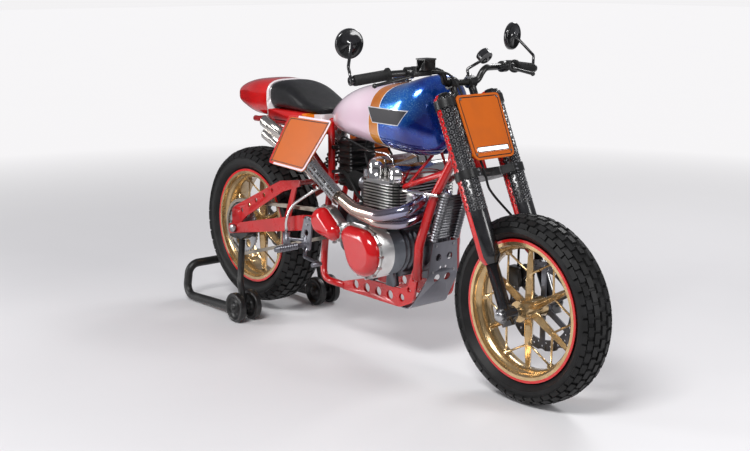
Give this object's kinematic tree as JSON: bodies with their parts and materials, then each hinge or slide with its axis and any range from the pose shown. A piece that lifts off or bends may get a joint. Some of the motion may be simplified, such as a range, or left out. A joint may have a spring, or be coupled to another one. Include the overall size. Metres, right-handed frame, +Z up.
{
  "type": "motorcycle",
  "caption": "Flat-track styled cafe racer motorcycle held upright by its rear paddock stand; wheels turn, the fork steers and the stand's rollers spin.",
  "frame": {"origin": "on the floor, midway along the machine's length and on its middle plane", "axes": "+X forwards, +Y to the rider's left, +Z up from the floor"},
  "size_m": [2.114, 0.8418, 1.1853],
  "materials": {
    "red_frame": "gloss red paint",
    "red_cover": "gloss dark red paint over alloy",
    "orange_panel": "gloss orange with a dark border",
    "tank_paint": "metal-flake blue and pale paint with a gold band",
    "tail_red": "gloss red",
    "gold_alloy": "champagne gold paint over alloy",
    "tyre_black": "block tread",
    "black_paint": "satin black paint",
    "black_gloss": "gloss black",
    "fork_black": "black anodised",
    "head_alloy": "cast, with polished covers",
    "case_alloy": "grey satin cast alloy",
    "plate_alloy": "brushed sheet",
    "cooler_alloy": "fine fins",
    "stainless": "stainless tube, lightly tinted",
    "steel": "machined steel",
    "chain_steel": "oiled steel",
    "seat_leather": "gloss black leather",
    "rubber_black": "ribbed rubber",
    "lamp_white": "clear white lens"
  },
  "bodies": {
    "chassis": {"frame_spine": "red_frame", "frame_cradle": "red_frame", "subframe": "red_frame", "skid_plate": "plate_alloy", "oil_cooler": "cooler_alloy", "crankcase": "case_alloy", "barrels": "black_paint", "cylinder_head": "head_alloy", "clutch_cover": "red_cover", "sprocket_cover": "red_cover", "carburettors": "plate_alloy", "exhaust_pipes": "stainless", "exhaust_shield": "steel", "fuel_tank": "tank_paint", "filler_cap": "black_gloss", "tail": "tail_red", "seat": "seat_leather", "number_panels": "orange_panel", "swingarm": "red_frame", "rear_shock": "steel", "chain": "chain_steel", "footrests": "plate_alloy", "paddock_stand": "black_paint", "engine_lines": "black_gloss"},
    "steering": {"yokes": "fork_black", "fork_tubes": "fork_black", "fork_legs": "fork_black", "front_caliper": "black_paint", "handlebar": "black_paint", "grips": "rubber_black", "lever_perches": "black_paint", "mirrors": "black_gloss", "gauge": "black_gloss", "front_plate": "orange_panel", "front_lamp": "lamp_white", "front_hoses": "rubber_black"},
    "front_wheel": {"front_rim": "gold_alloy", "front_tyre": "tyre_black", "front_disc": "steel"},
    "rear_wheel": {"rear_rim": "gold_alloy", "rear_tyre": "tyre_black", "rear_disc": "steel", "rear_sprocket": "steel"},
    "roller_right": {"stand_rollers_right": "rubber_black"},
    "roller_left": {"stand_rollers_left": "rubber_black"}
  },
  "joints": [
    {"name": "steering_turn", "type": "hinge", "parent": "chassis", "child": "steering", "pos_m": [0.4695, 0, 0.8151], "axis": [-0.4147, 0, 0.91], "range_deg": [-25, 25]},
    {"name": "front_spin", "type": "hinge", "parent": "steering", "child": "front_wheel", "pos_m": [0.751, 0, 0.306], "axis": [0, 1, 0], "continuous": true},
    {"name": "rear_spin", "type": "hinge", "parent": "chassis", "child": "rear_wheel", "pos_m": [-0.739, 0, 0.346], "axis": [0, 1, 0], "continuous": true},
    {"name": "roller_right_spin", "type": "hinge", "parent": "chassis", "child": "roller_right", "pos_m": [-0.601, -0.197, 0.059], "axis": [0, 1, 0], "continuous": true},
    {"name": "roller_left_spin", "type": "hinge", "parent": "chassis", "child": "roller_left", "pos_m": [-0.601, 0.197, 0.059], "axis": [0, 1, 0], "continuous": true}
  ]
}
